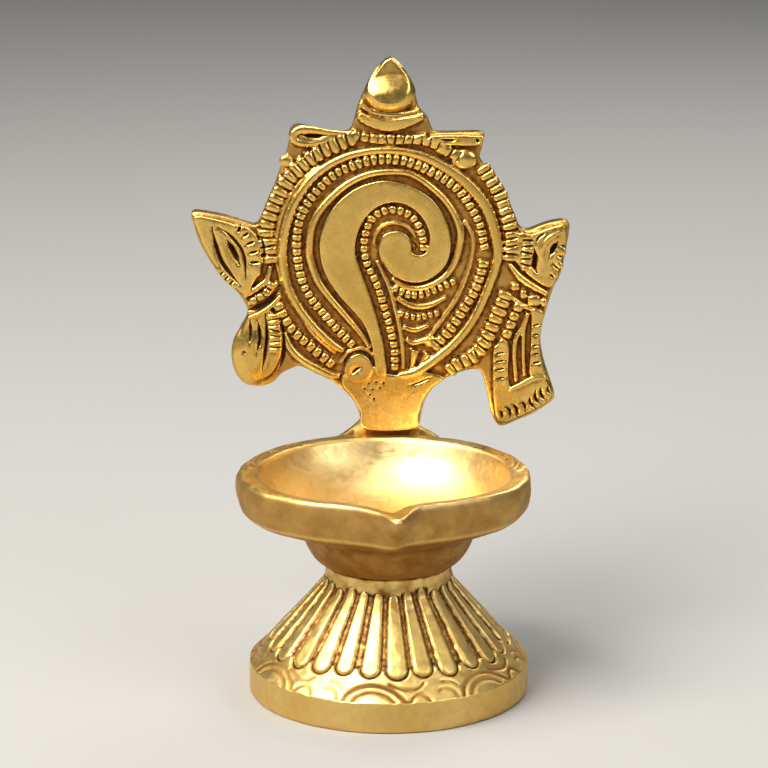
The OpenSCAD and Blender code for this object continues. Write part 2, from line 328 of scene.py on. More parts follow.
foot_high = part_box("base")[1]
foot_r = foot_high.x / MM
seam_z = foot_high.z / MM
FLUTES = 27
FIRST_FLUTE = math.radians(4.4)
CONE_TOP = (15.1, 25.1)
CONE_END = (27.7, 10.8)
FOOT_SKIN = [(13.2, seam_z), (13.9, seam_z - 0.1), (14.2, seam_z - 0.5), (14.2, 28.6), (14.35, 27.3),
             (14.7, 26.1), CONE_TOP]
FLUTE_TOP = (14.3, 27.7)
FLUTE_END = 19.9
SCROLLS = 7
SCROLL_TURN = 0.108
BORDER_R = 29.7
BORDER_TOP_Z = 7.0
FOOT_STEPS = 576


def flute_level(across, along, half, end):
    """Height of one flute above the floor of its grooves: a dome with a rounded lower end."""
    beyond = np.maximum(along - end, 0)
    before = np.maximum(0.9 - along, 0) * 0.7
    q = np.hypot(np.hypot(across, beyond), before) / half
    return np.clip(1 - q ** 7, 0, 1) ** 0.75


def cut_foot_ornament(piece):
    """Cuts the flutes and scrolls into the turned foot; gives the shares of patina and of a brown coat,
    which also holds a painted shadow under the bowl.
    """
    co = points_of(piece)
    r, turn, z = np.hypot(co[:, 0], co[:, 1]), np.arctan2(co[:, 0], -co[:, 1]), co[:, 2]
    border_foot = (foot_r, BORDER_TOP_Z)
    slope = [FLUTE_TOP, CONE_TOP, CONE_END, border_foot]
    gap, along = line_distance(slope, r, z)
    skin = (gap < 0.8) & (z > 6.95) & (z < FLUTE_TOP[1] + 0.2)
    cone_length = math.dist(FLUTE_TOP, CONE_TOP) + math.dist(CONE_TOP, CONE_END)

    # Flutes, no two quite alike
    pitch = 2 * math.pi / FLUTES
    number = np.round((turn - FIRST_FLUTE) / pitch).astype(int)
    rng = np.random.default_rng(7)
    sway = rng.uniform(-0.05, 0.05, FLUTES)[number % FLUTES]
    fat = rng.uniform(0.9, 1.07, FLUTES)[number % FLUTES]
    reach = rng.uniform(-0.6, 0.4, FLUTES)[number % FLUTES]
    start = rng.uniform(0.1, 1.8, FLUTES)[number % FLUTES]
    across = ((turn - FIRST_FLUTE) / pitch - number + sway) * pitch * r
    widen = np.clip(along / FLUTE_END, 0, 1)
    half = (0.88 + 1.5 * widen ** 0.9) * fat
    end = FLUTE_END - 0.8 + reach
    level = flute_level(across, along - start, half, end - start)
    # The floor of each groove is rough from the sand, with a thin broken rib standing in it
    side = (np.abs(across) - pitch * r / 2)
    rough = np.array([noise.fractal(Vector(p) * 1.1, 1.0, 2.0, 3) for p in co])
    rib = 0.16 * np.exp(-(side / 0.32) ** 2) + 0.5 * rough * (1 - 0.6 * widen)
    rib *= step_up(0.5, 3, along) * (1 - step_up(end - 2, end, along))
    # The border's plain edge is scalloped round the ends of the flutes
    outside = np.hypot(across, np.maximum(along - end, 0)) - half
    shelf = step_up(0.1, 0.5, outside) * step_up(end - 0.4, end + 0.7, along)
    top = 1 - step_up(start - 0.6, start + 0.5, along)
    floor = np.maximum(np.maximum(level, rib), np.maximum(shelf, top))
    depth = (0.7 + 0.15 * widen) * (1 - floor)
    depth = np.where(skin & (along < cone_length + 1.5), depth, 0)

    # Scroll border: soft nested arches with a wave rolling on from each
    t = along - cone_length
    up = math.dist(CONE_END, border_foot) - t
    lap = 2 * math.pi / SCROLLS
    seat = np.round((turn + SCROLL_TURN) / lap)
    local = ((turn + SCROLL_TURN) / lap - seat) * lap * BORDER_R
    lines = [
        ([(-6.6, 0.1), (-5.9, 1.9), (-4.2, 3.4), (-1.6, 4.3), (1.4, 4.2), (4, 3.2), (6, 1.6), (7, 0.3)],
         0.5, 0.42),
        ([(-4.6, 0.2), (-3.4, 1.7), (-1.4, 2.6), (0.8, 2.6), (2.8, 1.9), (4.4, 0.5)], 0.5, 0.34),
        ([(3.4, 4.7), (5.8, 3.7), (8, 3.2), (10, 3.6), (11.4, 4.6)], 0.42, 0.36),
        ([(7.9, 0.3), (8.8, 1.6), (10.2, 2.2), (11.4, 1.5), (12.2, 0.3)], 0.45, 0.36),
        ([(-8, 0.4), (-8.6, 2.0), (-10, 2.9), (-11.7, 2.7)], 0.42, 0.3),
        ([(-7.4, 3.3), (-8.8, 4.4), (-10.6, 4.6)], 0.38, 0.25),
    ]
    border = np.zeros(r.shape)
    for path, half_width, deep in lines:
        d, _ = line_distance(spline(path, 0.4), local, up)
        border += 0.8 * deep * (1 - step_up(0, half_width * 2, d))
    uneven = 0.85 + 0.3 * np.sin(turn * 2 + 1)
    on_border = skin & (t > 0.3) & (up > 0.15)
    depth += np.where(on_border, border * uneven, 0)
    normal = np.stack([np.sin(turn) * 0.745, -np.cos(turn) * 0.745, np.full(r.shape, 0.667)], 1)
    move_points(piece, co - normal * depth[:, None])

    # Film: clouded on the neck, a painted shadow in the seam under the bowl, caked in the grooves and
    # scrolls
    left = np.where(along < cone_length, 0.8 - 0.3 * step_up(3, 15, along), 0.6)
    cloud = np.array([noise.fractal(Vector(p) * 0.3, 1.0, 2.0, 3) if p[2] > 24 else 0 for p in co])
    # The seam term is painted shadow: the neck just under the bowl's foot turns full dark brown.
    film_and_shade = (0.34 + 0.9 * cloud) * step_up(25.2, 26.6, z) * (r > 12) + step_up(29.1, 29.7, z) * (r > 13.6)
    film_and_shade = np.maximum(film_and_shade, 0.2 * step_up(6.9, 6.4, z) * (r > 30))
    groove = (1 - floor) * skin * (along < cone_length) * (0.95 + 1.5 * rough)
    scrolled = np.clip(border / 0.25, 0, 1) ** 2 * on_border * (0.95 + 0.35 * np.sin(turn * 5 + 2))
    film_and_shade = np.maximum(film_and_shade, np.maximum(groove, scrolled))
    return np.where(skin, left * step_up(-0.6, 0.6, along), 0), film_and_shade


foot_outer = np.vstack([
    spline(FOOT_SKIN, 0.35),
    straight([CONE_TOP, CONE_END], 0.25)[1:],
    straight([CONE_END, (foot_r - 0.35, 7.3)], 0.25)[1:],
    spline([(foot_r - 0.35, 7.3), (foot_r, 6.9), (foot_r + 0.03, 5.8)], 0.25)[1:],
    straight([(foot_r + 0.03, 5.8), (foot_r, 0.35)], 0.7)[1:],
    spline([(foot_r, 0.35), (foot_r - 0.3, 0)], 0.2)[1:],
])
boss_z = seam_z - 6
foot_inner = straight([
    (foot_r - 2.9, 0), (foot_r - 3.1, 0.3), (foot_r - 3.2, 6), (24.4, 9.4), (12.6, boss_z - 1.4),
    (11.4, boss_z), (3.2, boss_z), (3.2, seam_z), (13.2, seam_z)], 1.6)[:-1]
base = lathe("base_casting", np.vstack([foot_outer, foot_inner]).tolist(), FOOT_STEPS)
foot_wear, foot_film_and_shade = cut_foot_ornament(base)
ripple(base, 6.0, 0.3)
ripple(base, 1.5, 0.07)
mark_hollows(base, left=foot_wear, film_and_shade=foot_film_and_shade)
foot_brass = cast_brass("foot_brass", gold=(0.93, 0.66, 0.23), shade=(0.84, 0.56, 0.16), polish=0.43,
                        film_at=(0.0, 0.13), deep_at=(0.02, 0.1), grain=0.3)
finish_piece(base, foot_brass, "base")


# ---------------------------------------------------------------- bowl casting
# The lamp bowl, cast and then turned: a round dish in a broad plain band, drawn out at the front
# into a sharp spout for the wick. It seats on the neck of the foot, and a lug cast on behind
# the rim carries the plate. It is polished all over, with tool marks left in the dish.

bowl_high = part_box("bowl")[1]
RIM_R = 33.1
RIM_Z = 50.5
DISH_R = 28.4
BODY_R = 19.6
FRONT_OUTER = [(0, 36.2), (0.7, 36.0), (1.5, 35.1), (2.4, 33.5), (3.4, 31.6), (4.8, 29.8), (7.4, 27.4),
               (11, 25.7), (16, 23.75), (22, 20.3), (27, 16.1), (30.4, 11.2), (32.4, 5.6), (33.1, 0)]
FRONT_INNER = [(0, 30.6), (0.5, 30.2), (1.5, 29.0), (3.0, 27.3), (5.2, 25.3), (8, 23.7), (11, 22.5),
               (15, 20.9), (19, 18.6), (22.8, 15.1), (25.8, 10.6), (27.7, 5.4), (28.4, 0)]


def plan_radius(front, back_radius, turn):
    """Radius of the rim's plan at an angle from the spout; round behind the axis."""
    path = spline(front, 0.25)
    angle = np.arctan2(path[:, 0], path[:, 1])
    order = np.argsort(angle)
    reach = np.interp(np.abs(turn), angle[order], np.hypot(path[:, 0], path[:, 1])[order])
    return np.where(np.abs(turn) < math.pi / 2, reach, back_radius)


SPOUT_TURN = 0.09
RIM_SHIFT = 1.1
BOWL_STEPS = 600
LUG_T = 3.2
RIM_MARKS = [[(96, 29.6), (101, 31.2), (107, 32.2)], [(99, 29.3), (105, 30.9), (112, 31.9)],
             [(91, 30.4), (94, 31.6), (98, 32.4)], [(117, 30.3), (119, 31.3)], [(121, 29.6),
                                                            (120.4, 30.6)],
             [(131, 30.1), (133, 31.4)], [(135, 29.4), (134.6, 30.3)], [(110, 29.5), (112.5, 30.3)]]


def draw_out_spout(piece):
    """Presses the turned ring into its plan, with hand-filed facets and the marks cut in the rim."""
    co = points_of(piece)
    r, turn, z = np.hypot(co[:, 0], co[:, 1]), np.arctan2(co[:, 0], -co[:, 1]), co[:, 2]
    # More of the turns go to the spout, where the plan is sharpest
    turn = turn - 0.55 * np.sin(turn)
    outer = plan_radius(FRONT_OUTER, RIM_R, turn)
    plain = plan_radius([(0, 28.2), (5, 27.6), (11, 25.7)] + FRONT_OUTER[8:], RIM_R, turn)
    inner = plan_radius(FRONT_INNER, DISH_R, turn)
    rim = plain + (outer - plain) * (0.42 + 0.58 * step_up(42.5, 49.5, z))
    inside = (r < DISH_R + 0.05) & (z > np.interp(r, [14, 19, 22.6, 25, 28.5], [36.3, 37.2, 39.9, 41.5,
                                                            45]))
    top = (r >= DISH_R + 0.05) & (z > RIM_Z - 0.35)
    dish = r * (1 + (inner / DISH_R - 1) * step_up(0.3, 1.0, r / DISH_R) ** 1.3)
    flat = inner + (r - DISH_R) * (rim - inner) / (RIM_R - DISH_R)
    under = BODY_R + (r - BODY_R) * (rim - BODY_R) / (RIM_R - BODY_R)
    new_r = np.where(inside, dish, np.where(top, flat, np.where(r > BODY_R, under, r)))

    # Facets left by the file round the band
    edges = np.cumsum(np.random.default_rng(11).uniform(0.2, 0.34, 24)) - 3.3
    nearest = np.abs(turn[:, None] - (edges[1:] + edges[:-1])[None, :] / 2).argmin(1)
    width = np.diff(edges)[nearest]
    off = np.clip(np.abs(turn - ((edges[1:] + edges[:-1]) / 2)[nearest]) / (width / 2), 0, 1)
    facet = 0.65 * RIM_R * (1 - np.cos(width / 2)) * (off ** 2 - 0.5)
    band = step_up(41, 44, z) * step_up(-0.6, 0.6, r - 31.5) * (1 - inside) * step_up(0.1, 0.4,
                                                            np.abs(turn))
    new_r = new_r + facet * band

    dip = 0.2 * np.exp(-(turn / 0.12) ** 2) * step_up(24, 32, new_r) * step_up(46, 50, z)
    marked = np.zeros(len(co))
    angle = np.degrees(turn)
    for path in RIM_MARKS:
        for way, shift in ((1, 0), (-1, 3)):
            line = [(math.radians(a + shift) * 31, q) for a, q in path]
            gap, _ = line_distance(line, np.radians(angle * way) * 31, new_r)
            marked = np.maximum(marked, 1 - step_up(0.05, 0.55, gap))
    marked *= top
    lean = SPOUT_TURN * np.exp(-(turn / 0.8) ** 2) * np.where(inside, 0, step_up(24, 33, new_r))
    turn = turn + lean
    x = new_r * np.sin(turn) - RIM_SHIFT * step_up(18, 33, r)
    move_points(piece, np.stack([x, -new_r * np.cos(turn), z - dip - 0.3 * marked], 1))
    return marked


bowl_outer = np.vstack([
    straight([(3.05, seam_z), (14.9, seam_z)], 1.5),
    spline([(14.9, seam_z), (15.5, seam_z + 0.3), (17.0, 31.6), (18.3, 33.7), (19.2, 35.7), (19.9, 37.1),
            (21.6, 38.2), (24.6, 39.2), (28.2, 40.3), (30.6, 41.3), (32.0, 42.7), (32.8, 44.4),
            (33.2, 46.8), (33.15, 48.9), (32.95, 49.8), (32.45, 50.32), (31.8, 50.5)], 0.38)[1:],
    straight([(31.8, 50.5), (29.1, 50.5)], 0.38)[1:],
    spline([(29.1, 50.5), (28.55, 50.3), (28.2, 49.8), (27.6, 48.4), (26.6, 46.2), (25.0, 43.8),
            (22.6, 41.4),
            (19.0, 39.1), (14.2, 37.5), (8.5, 36.75), (3, 36.5), (0.05, 36.5)], 0.45)[1:],
])
tap_z = seam_z + 5
bowl_profile = np.vstack([bowl_outer, [(0, 36.5)]]).tolist()
hole = [(0, tap_z), (3.05, tap_z), (3.05, seam_z)]
bowl = lathe("bowl_casting", hole[:-1] + bowl_profile, BOWL_STEPS)
marks = draw_out_spout(bowl)
layer = bowl.data.attributes.new("marks", "FLOAT", "POINT")
layer.data.foreach_set("value", marks.astype(np.float32))


def rear_lug():
    """The lug behind the plate: an upright web whose foot flares along the rim in concave ramps."""
    back = bowl_high.y / MM
    front = back - LUG_T
    left = [(-12, -0.7), (-10.2, 0.1), (-8.8, 0.8), (-7.5, 1.7), (-6.4, 2.8), (-5.5, 4.2), (-5.0, 6.4),
            (-4.2, 8.4)]
    right = [(4.2, 8.4), (4.9, 6), (5.3, 2.6), (6.4, 1.2), (8.2, 0.5), (10, 0), (11.8, -0.7)]
    top = spline(left, 0.8).tolist() + spline(right, 0.8).tolist()
    low = [(12.8, -3.5), (9, -6), (-9, -6), (-13.8, -3.5)]
    outline = [(x, RIM_Z + z) for x, z in top + low]
    n = len(outline)

    def swept(x, y):
        """The flared ends curve forward to meet the round rim."""
        return y - 6.4 * float(step_up(4.5, 14.5, abs(x)))

    verts = [(x, 29.4 if z < RIM_Z else swept(x, front), z) for x, z in outline]
    verts += [(x, swept(x, back), z) for x, z in outline]
    sides = [[i, (i + 1) % n, (i + 1) % n + n, i + n] for i in range(n)]
    piece = carried("rear_lug", verts, [list(range(n))[::-1], [i + n for i in range(n)]] + sides)
    face_outward(piece, triangles=True)
    return piece


lug = rear_lug()
weld = bowl.modifiers.new("lug", "BOOLEAN")
weld.operation = "UNION"
weld.solver = "EXACT"
weld.object = lug
select_only(bowl)
bpy.ops.object.modifier_apply(modifier="lug")
bpy.data.objects.remove(lug)
ripple(bowl, 7.0, 0.25)
marks = np.zeros(len(bowl.data.vertices), np.float32)
bowl.data.attributes["marks"].data.foreach_get("value", marks)
co = points_of(bowl)
side_r, facing = np.hypot(co[:, 0], co[:, 1]), normals_of(bowl)
outward = (co * facing)[:, :2].sum(1) > 0
# Painted shade: the band's side and lower faces get a brown coat for the darker light they show, and the
# body under the band a near-full coat for the shade of the band's overhang; on the body it is partly a
# real brown film too.
band_painted_shade = 0.72 * step_up(0.75, 0.4, facing[:, 2]) * outward * step_up(41.5, 43, co[:, 2])
body_film_and_shade = 0.95 * step_up(42.6, 41, co[:, 2]) * outward * (side_r > 12)
dish = step_up(30.5, 27.5, side_r) * (facing[:, 2] > 0.1)
film_and_shade = np.maximum(np.maximum(band_painted_shade, body_film_and_shade), 0.16 * dish) + 0.5 * marks
# The dish's pale share is a painted highlight: paler brass for the glare in the dish.
mark_hollows(bowl, left=marks, film_and_shade=film_and_shade, pale=0.42 * dish)
bowl_brass = cast_brass("bowl_brass", gold=(0.92, 0.63, 0.20), shade=(0.84, 0.57, 0.17), polish=0.38,
                        grain=0.12, pits=0.25, brushed=(300, 300, 2600), scratched=1.0)
finish_piece(bowl, bowl_brass, "bowl")

# ---------------------------------------------------------------- conch plate
# The upright figure, sand cast in brass in one piece: a conch with its coiled mouth, inside rings
# of plain and beaded cord, with a tied cloth at each side and a small finial on top. Its high
# faces were filed flat and brushed, and the ground between them keeps its dark patina. The
# tongue at its foot stands just over the rim, and two screws hold it to the bowl's lug.

plate_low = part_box("conch_plate")[0]
TOP_Y = plate_low.y / MM
BACK_Y = TOP_Y + 5.1
GROUND_Y = TOP_Y + 1.5
SEAT_Z = plate_low.z / MM
TONGUE_Z = 52.2

OUTLINE = [
    (0.4, 139.6), (1.4, 138.9), (2.6, 137.8), (4, 136), (5.2, 133.7), (6, 131.3), (6.4, 129.6),
    (7, 127.8),
    (8.5, 126.2), (9.2, 124.9), (9.7, 123.4), (10.6, 122.5), (14, 122.4), (18, 122.5), (20.8, 122.5),
    (21.9, 121.8), (21.6, 120.4), (21.2, 118.4), (20.8, 117), (21.5, 115.2), (24.2, 111.6), (27.3, 106.5),
    (29, 103.2), (30, 100.5), (31, 99.8), (32.2, 99.7), (36, 101.2), (40, 102), (41.4, 101.2),
    (41.5, 99.6),
    (40.3, 92.5), (39.4, 88.8), (38.2, 86.7), (37.2, 83.5), (36.2, 80), (35.3, 76), (35.3, 72.6),
    (36.3, 68),
    (38.3, 62), (38.6, 60.4), (38.2, 59.3), (34, 56.3), (30, 54.5), (26.8, 53.2), (25.4, 53.5),
    (24.5, 54.9),
    (23.6, 57.4), (22.8, 61.4), (21.8, 65.4), (21, 66.7), (18, 66.5), (14, 65), (11.3, 63.3), (8.9, 60.2),
    (8, 57.5), (7.3, 53.6), (6.9, 52.5), (6.3, TONGUE_Z), (-5.3, TONGUE_Z), (-6.0, 52.5), (-6.4, 53.4),
    (-7, 56), (-8, 58.8), (-10, 61.2), (-13, 63.7), (-17, 65.8), (-20.6, 67.5), (-22.2, 67.1),
    (-24.8, 65.8),
    (-26.8, 63.7), (-29.8, 62.7), (-32.5, 63.3), (-35, 65.5), (-36.1, 68.8), (-35.8, 72.5), (-34.5, 76.3),
    (-33, 79), (-32.6, 81), (-33.6, 83.2), (-35.5, 85.8), (-38.5, 88.8), (-41.3, 92.8), (-43.5, 97),
    (-44.8, 101.2), (-45.3, 103.6), (-44.6, 104.1), (-40, 103.4), (-36, 102.4), (-32, 101.1),
    (-30.4, 101),
    (-29.4, 102.6), (-27, 108), (-25, 113.5), (-23.5, 117.5), (-22.8, 120.4), (-22.7, 122.4),
    (-21.9, 123.8),
    (-20, 124), (-15, 122.8), (-11, 122.3), (-9, 122.8), (-8.2, 124.2), (-7.5, 127), (-6.6, 129.6),
    (-5.5, 132), (-4, 134.6), (-2, 137.5), (-0.8, 139)]

# Flat raised faces: outline and height of the face over the ground
CONCH_OUTER = [(-2.6, 65.8), (-3.3, 69.5), (-3.9, 73), (-5.3, 77), (-7.3, 80), (-11.7, 85), (-14.7, 90),
               (-15.8, 95), (-15.3, 100), (-12.8, 105), (-10, 108), (-7, 110), (-3.5, 111.2), (0, 111.5),
               (5, 110.3), (9, 108), (11.5, 105.3), (13.6, 101), (14.3, 97), (13.9, 93.8), (12.8, 91.4),
               (11, 89.6), (9, 88.3), (6.5, 87.7), (4, 88), (2, 88.8), (0.3, 90.1), (-1, 91.8),
               (-2, 93.8),
               (-2.2, 95.7), (-1.9, 97.4)]
CONCH_INNER = [(-1.2, 98.8), (0, 99.5), (2, 99.8), (3.6, 99.3), (4.7, 98.1), (5.2, 96.5), (5.3, 95),
               (6.2, 94.2), (7.8, 94.2), (8.9, 95.2), (9.3, 96.6), (9.5, 98.5), (9, 100.5), (8, 102.5),
               (6.5, 104.3), (4.5, 105.7), (2.5, 106.4), (0.5, 106.5), (-1.5, 106), (-3.5, 104.8),
               (-5.3, 103), (-6.7, 100.4), (-7.5, 97.6), (-7.7, 95), (-7, 92), (-5.4, 87.5), (-4, 83.4),
               (-3, 80), (-1.9, 76), (-1.2, 73), (-0.9, 70), (-0.5, 66.2)]
FACES = [
    (CONCH_OUTER + CONCH_INNER, 1.5),
    ([(-5.2, 52.7), (6.2, 52.7), (7, 56), (8.2, 59.6), (10, 62.4), (13, 65), (8.5, 66.2), (3.5, 65.7),
      (-1, 66), (-3.5, 67.6), (-9.8, 66.2), (-10.8, 63.4), (-8.6, 60.6), (-6.6, 57)], 1.15),
    ([(-33, 84.6), (-36.5, 88), (-40, 92), (-42.3, 96), (-43.8, 100), (-44.5, 103.2), (-40, 102.6),
      (-36, 101.5), (-32, 100.3), (-30, 98), (-29.4, 94), (-29.6, 90.5), (-31.2, 87.5)], 1.3),
    ([(28.8, 98.6), (31, 98.4), (34, 99.4), (38, 100.8), (40.5, 100.8), (40.5, 97), (39.4, 91.5),
      (38.3, 88), (37, 86.4), (33.4, 88.4), (30.2, 91.4), (28.8, 94)], 1.0),
    ([(-32.2, 79.8), (-33.8, 76.6), (-34.6, 72.8), (-34.6, 69.4), (-33.2, 66), (-31, 64.6), (-28.4, 65),
      (-26.6, 66.8), (-25.2, 69.6), (-24.4, 73), (-25.2, 77.5), (-27.5, 81)], 0.85),
    ([(24.5, 72.4), (24.2, 66), (24.4, 59.4), (25.8, 54.4), (30.6, 55.7), (37.6, 59.9), (36.6, 64.2),
      (33.5, 64.8), (31.6, 63.6), (29, 62.2), (28, 63.6), (27.7, 67), (27.9, 71.6), (27.2, 73.4)], 1.15),
    ([(33, 78.8), (32.9, 72), (32.6, 66.2), (33.6, 65.2), (36.3, 65.4), (35.6, 69), (34.9, 72.6),
      (35.2, 77),
      (35.8, 80.6), (33.4, 81.4)], 1.15),
    ([(-21.9, 122.8), (-20, 123.4), (-15, 122.2), (-9.4, 122.1), (-13, 121.2), (-17, 119.6),
      (-20.6, 119.8),
      (-22, 121)], 0.9),
    ([(9.6, 121.9), (20.8, 121.9), (21.4, 121), (20.6, 119.7), (14, 119.8), (9.4, 120.4)], 1.25),
    ([(-10.2, 67.4), (-9, 69.8), (-7, 70.8), (-5, 70), (-3.7, 67.6), (-4.6, 65), (-7.2, 63.9),
      (-9.6, 65)], 1.5),
]

# Round bars: points with the bar's width there, and how far its centre lies over the ground
BARS = [
    ([(-10.5, 71.3, 1.4), (-14, 73.8, 1.8), (-18, 78, 1.9), (-21.5, 83, 1.9), (-23.7, 88.5, 1.9),
      (-24.3, 96, 1.9), (-22.5, 104, 1.9), (-19, 110.2, 1.8), (-15, 114.2, 1.8), (-10, 116.9, 1.7),
      (-5, 118.2, 1.6), (0, 118.5, 1.6), (5, 117.9, 1.8), (10, 116.2, 2.1), (16, 112.5, 2.3),
      (20, 108.7, 2.5),
      (23, 104, 2.4), (24.9, 97, 2.2), (24.8, 92, 2), (22, 84, 1.9), (19, 78, 1.9), (15, 73, 2),
      (10, 68.7, 2.1), (6, 66.2, 2), (2.4, 65.4, 1.6)], 0.35),
    ([(-12.3, 70.8, 0.9), (-17, 75, 1.1), (-20, 79.3, 1.1), (-22.8, 83.6, 1), (-25, 89, 0.8),
      (-25.9, 95, 0.8),
      (-25.2, 101, 0.8), (-23.2, 106.5, 0.9), (-20, 111.2, 0.9), (-16, 115, 0.7)], 0.2),
    ([(-4.3, 72, 0.9), (-6.5, 75.5, 1.2), (-10, 79.8, 1.5), (-13.5, 84, 1.6), (-16.3, 88, 1.7),
      (-18, 93, 1.7),
      (-18.2, 96, 1.7), (-17.5, 101, 1.7), (-15, 105.5, 1.7), (-10, 110.3, 1.6), (-5, 112.8, 1.5),
      (0, 113.5, 1.5), (5, 113, 1.5), (10, 109.8, 1.6), (14, 105.5, 1.6), (16.4, 100, 1.7), (16, 95, 1.6),
      (14.5, 91, 1.5), (12, 88.3, 1.4), (8, 86.4, 1.4), (4, 86.5, 1.2), (0.9, 88.4, 0.8)], 0.3),
    ([(17.3, 102, 0.7), (19.4, 98, 0.9), (19, 93, 0.9), (17.5, 88, 1), (15.5, 83.5, 1), (12.5, 79, 1),
      (9.5, 74.7, 0.8)], 0.2),
    ([(-2.6, 92.5, 0.7), (-1, 89, 0.9), (0.3, 86, 1), (1.7, 80.5, 1), (2.7, 76, 1), (3.3, 71, 1),
      (3.4, 67, 0.8)], 0.25),
    ([(2, 83.9, 1), (4.5, 82.4, 1.4), (7, 81.9, 1.5), (10, 82.4, 1.4), (13.3, 84.1, 0.9)], 0.35),
    ([(3.4, 77, 1.1), (6, 76.3, 1.4), (9.2, 77.4, 1)], 0.35),
    ([(4.1, 74.1, 1), (5.6, 73.2, 1.3), (7.6, 73.7, 1.4), (9.4, 74.1, 1.8)], 0.3),
    ([(6.1, 71.6, 1.9), (5.8, 69.5, 1.5), (5.3, 67.1, 0.8)], 0.3),
    ([(9.1, 70.8, 1.7), (8.2, 69.2, 1.3), (7.1, 67.6, 0.7)], 0.3),
    ([(-3.4, 96.5, 0.6), (-3.1, 98.6, 0.7), (-1.8, 100.6, 0.7), (0.4, 101.5, 0.7), (2.8, 101.3, 0.7),
      (4.8, 100.2, 0.6), (6, 98.4, 0.5)], 0.25),
    ([(-6.9, 126.7, 1.6), (-4.2, 125.3, 2.3), (0, 124.4, 2.7), (4.2, 125.1, 2.3),
      (7.9, 126.4, 1.4)], 0.5),
    ([(-6.6, 129.3, 0.8), (-4, 127.5, 1.1), (0, 126.7, 1.2), (4, 126.9, 1.1), (7, 127.8, 0.8)], 0.35),
    ([(-7.6, 122, 1.6), (-4, 121, 1.5), (0, 120.6, 1.5), (4.5, 120.9, 1.8), (8.6, 121.6, 2)], 0.2),
    ([(-9.2, 122.4, 0.9), (-13, 122.6, 1.3), (-17, 123.2, 1.5), (-20.4, 123.3, 1.8), (-21.7, 122, 1.9),
      (-21, 120.6, 1.7), (-18.6, 120, 1.5), (-15.5, 120.5, 1.4), (-12, 121.6, 1.2)], 0.45),
    ([(-24.3, 75.4, 1.4), (-22.6, 71.8, 1.8), (-20, 69.2, 1.8), (-17, 67.4, 1.7), (-13.8, 65.8, 1.6),
      (-11.4, 65.2, 1.2)], 0.2),
    ([(-33.4, 84.2, 1.1), (-30, 86.5, 1.4), (-28, 88.4, 1.3), (-27.2, 91.5, 1)], 0.45),
    ([(-32.6, 82.4, 1), (-29.8, 83.7, 1.1), (-27.4, 85.3, 1.1), (-25.6, 87.6, 0.9)], 0.4),
    ([(-32.4, 79.2, 0.9), (-29.6, 80.4, 1.1), (-27, 82.2, 1.1), (-24.8, 84.6, 0.9)], 0.6),
    ([(27.8, 92, 1), (30, 89.2, 1.5), (32.4, 87.3, 1.6), (36.6, 84.9, 1.3)], 0.45),
    ([(28.2, 84.2, 0.9), (31, 82.2, 1.1), (33, 81.3, 1.1), (35.2, 80.9, 0.9)], 0.35),
    ([(-3.1, 66.4, 0.6), (-3, 69, 0.7), (-4.6, 71.2, 0.7), (-7, 71.9, 0.7), (-9.6, 70.8, 0.7),
      (-11, 68.4, 0.6)], 0.3),
    ([(32.2, 80.4, 1.1), (31, 77.1, 1.1), (29.5, 74.4, 1.1), (29.1, 70.5, 1.1), (29.6, 64, 1)], 0.5),
    ([(32, 79, 0.8), (31.3, 76.3, 0.9), (31.2, 70.5, 0.9), (31.5, 65.4, 0.8)], 0.5),
    ([(28.2, 62.2, 1), (30.4, 63.2, 1.2), (32.6, 64.4, 1.3), (34.6, 65, 1.2), (36.6, 65, 1)], 0.95),
    ([(-38.9, 100.9, 0.6), (-38.3, 97, 0.9), (-36.9, 92.4, 1), (-34.8, 88, 0.7)], 0.95),
    ([(-38, 100.3, 0.6), (-35.5, 97.8, 0.9), (-33.7, 94.2, 1), (-33.4, 88.6, 0.8)], 0.95),
    ([(35.1, 92.6, 0.8), (35.4, 95.8, 1.2), (37, 98.2, 1.3), (39.9, 99.8, 1)], 0.75),
]

